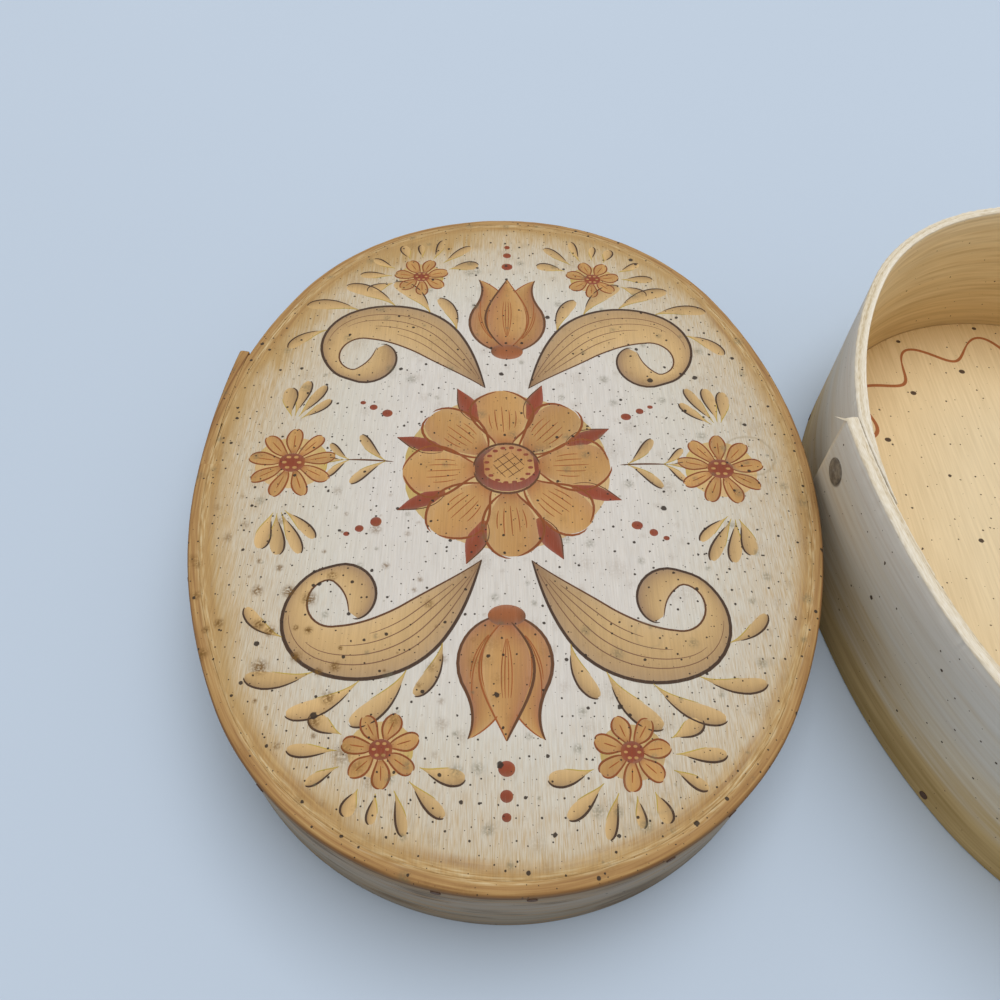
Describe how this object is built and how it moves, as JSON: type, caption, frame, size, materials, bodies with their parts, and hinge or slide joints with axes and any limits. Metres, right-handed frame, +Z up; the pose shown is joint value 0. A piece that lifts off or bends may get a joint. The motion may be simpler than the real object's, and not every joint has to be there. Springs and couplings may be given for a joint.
{
  "type": "bentwood lidded box",
  "caption": "Oval bentwood food box with riveted lap joints and a slip-over lid, shown open with the painted lid lying beside the base.",
  "frame": {"origin": "middle of the base's underside, on the surface that it stands on", "axes": "+Z up; +Y along the ovals; +X from the lid lying on the table towards the base"},
  "size_m": [0.4155, 0.2856, 0.068],
  "materials": {
    "painted_band": "thin matt paint over bent wood, worn",
    "painted_floor": "ochre paint, aged",
    "painted_lid": "matt cream paint with hand-painted scrolls, antiqued towards the rim",
    "rivet_metal": "dull, hammered",
    "peg_wood": "dark, worn flush"
  },
  "bodies": {
    "base": {"base_band": "painted_band", "base_bottom": "painted_floor", "base_lap_rivets": "rivet_metal", "base_lap_burrs": "rivet_metal", "base_pegs": "peg_wood"},
    "lid": {"lid_band": "painted_band", "lid_top": "painted_lid", "lid_lap_rivets": "rivet_metal", "lid_lap_burrs": "rivet_metal", "lid_pegs": "peg_wood"}
  },
  "joints": [
    {"name": "lid_lift", "type": "slide", "parent": "base", "child": "lid", "axis": [0, 0, 1], "range_m": [0, 0.15]}
  ]
}
